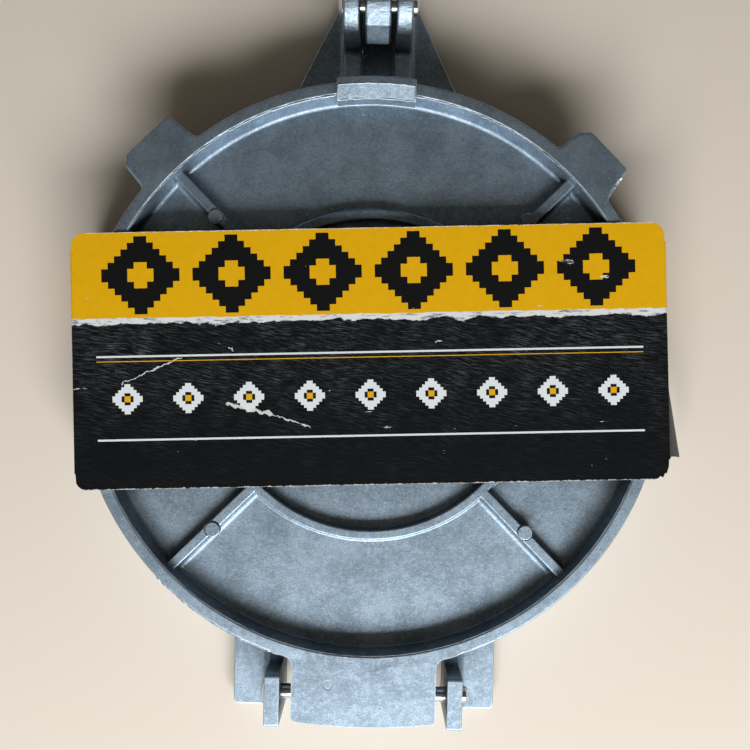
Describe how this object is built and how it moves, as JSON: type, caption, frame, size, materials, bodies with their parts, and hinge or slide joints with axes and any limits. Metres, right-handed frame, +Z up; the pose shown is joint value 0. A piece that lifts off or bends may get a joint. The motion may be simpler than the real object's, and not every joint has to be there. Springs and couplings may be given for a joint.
{
  "type": "tortilla press",
  "caption": "Cast aluminium tortilla press: hinged round plates, a folding lever that bears on their front edge, and a blank card sales band.",
  "frame": {"origin": "middle of the part's box, on the table that the press stands on", "axes": "+Z up, +Y from the rear hinge to the lever clevis and along the laid back lever, +X to the right seen from above with the lever pointing away"},
  "size_m": [0.2344, 0.4788, 0.0405],
  "materials": {
    "casting": "satin as cast, fine mottling and small nicks",
    "rivet_steel": "bright zinc-plated steel",
    "card": "matte printed card, yellow above and black below, no print"
  },
  "bodies": {
    "base": {"lower_plate": "casting", "hinge_rivet": "rivet_steel", "lever_rivet": "rivet_steel"},
    "top": {"upper_plate": "casting"},
    "press_lever": {"lever": "casting"},
    "band": {"card_band": "card"}
  },
  "joints": [
    {"name": "top_plate_hinge", "type": "hinge", "parent": "base", "child": "top", "pos_m": [-0.0047, -0.22948, 0.019], "axis": [1, 0, 0], "range_deg": [0, 105]},
    {"name": "lever_pivot", "type": "hinge", "parent": "base", "child": "press_lever", "pos_m": [-0.0047, 0.02572, 0.03], "axis": [1, 0, 0], "range_deg": [0, 171]},
    {"name": "band_lift", "type": "slide", "parent": "top", "child": "band", "axis": [0, 0, 1], "range_m": [0, 0.07]}
  ]
}
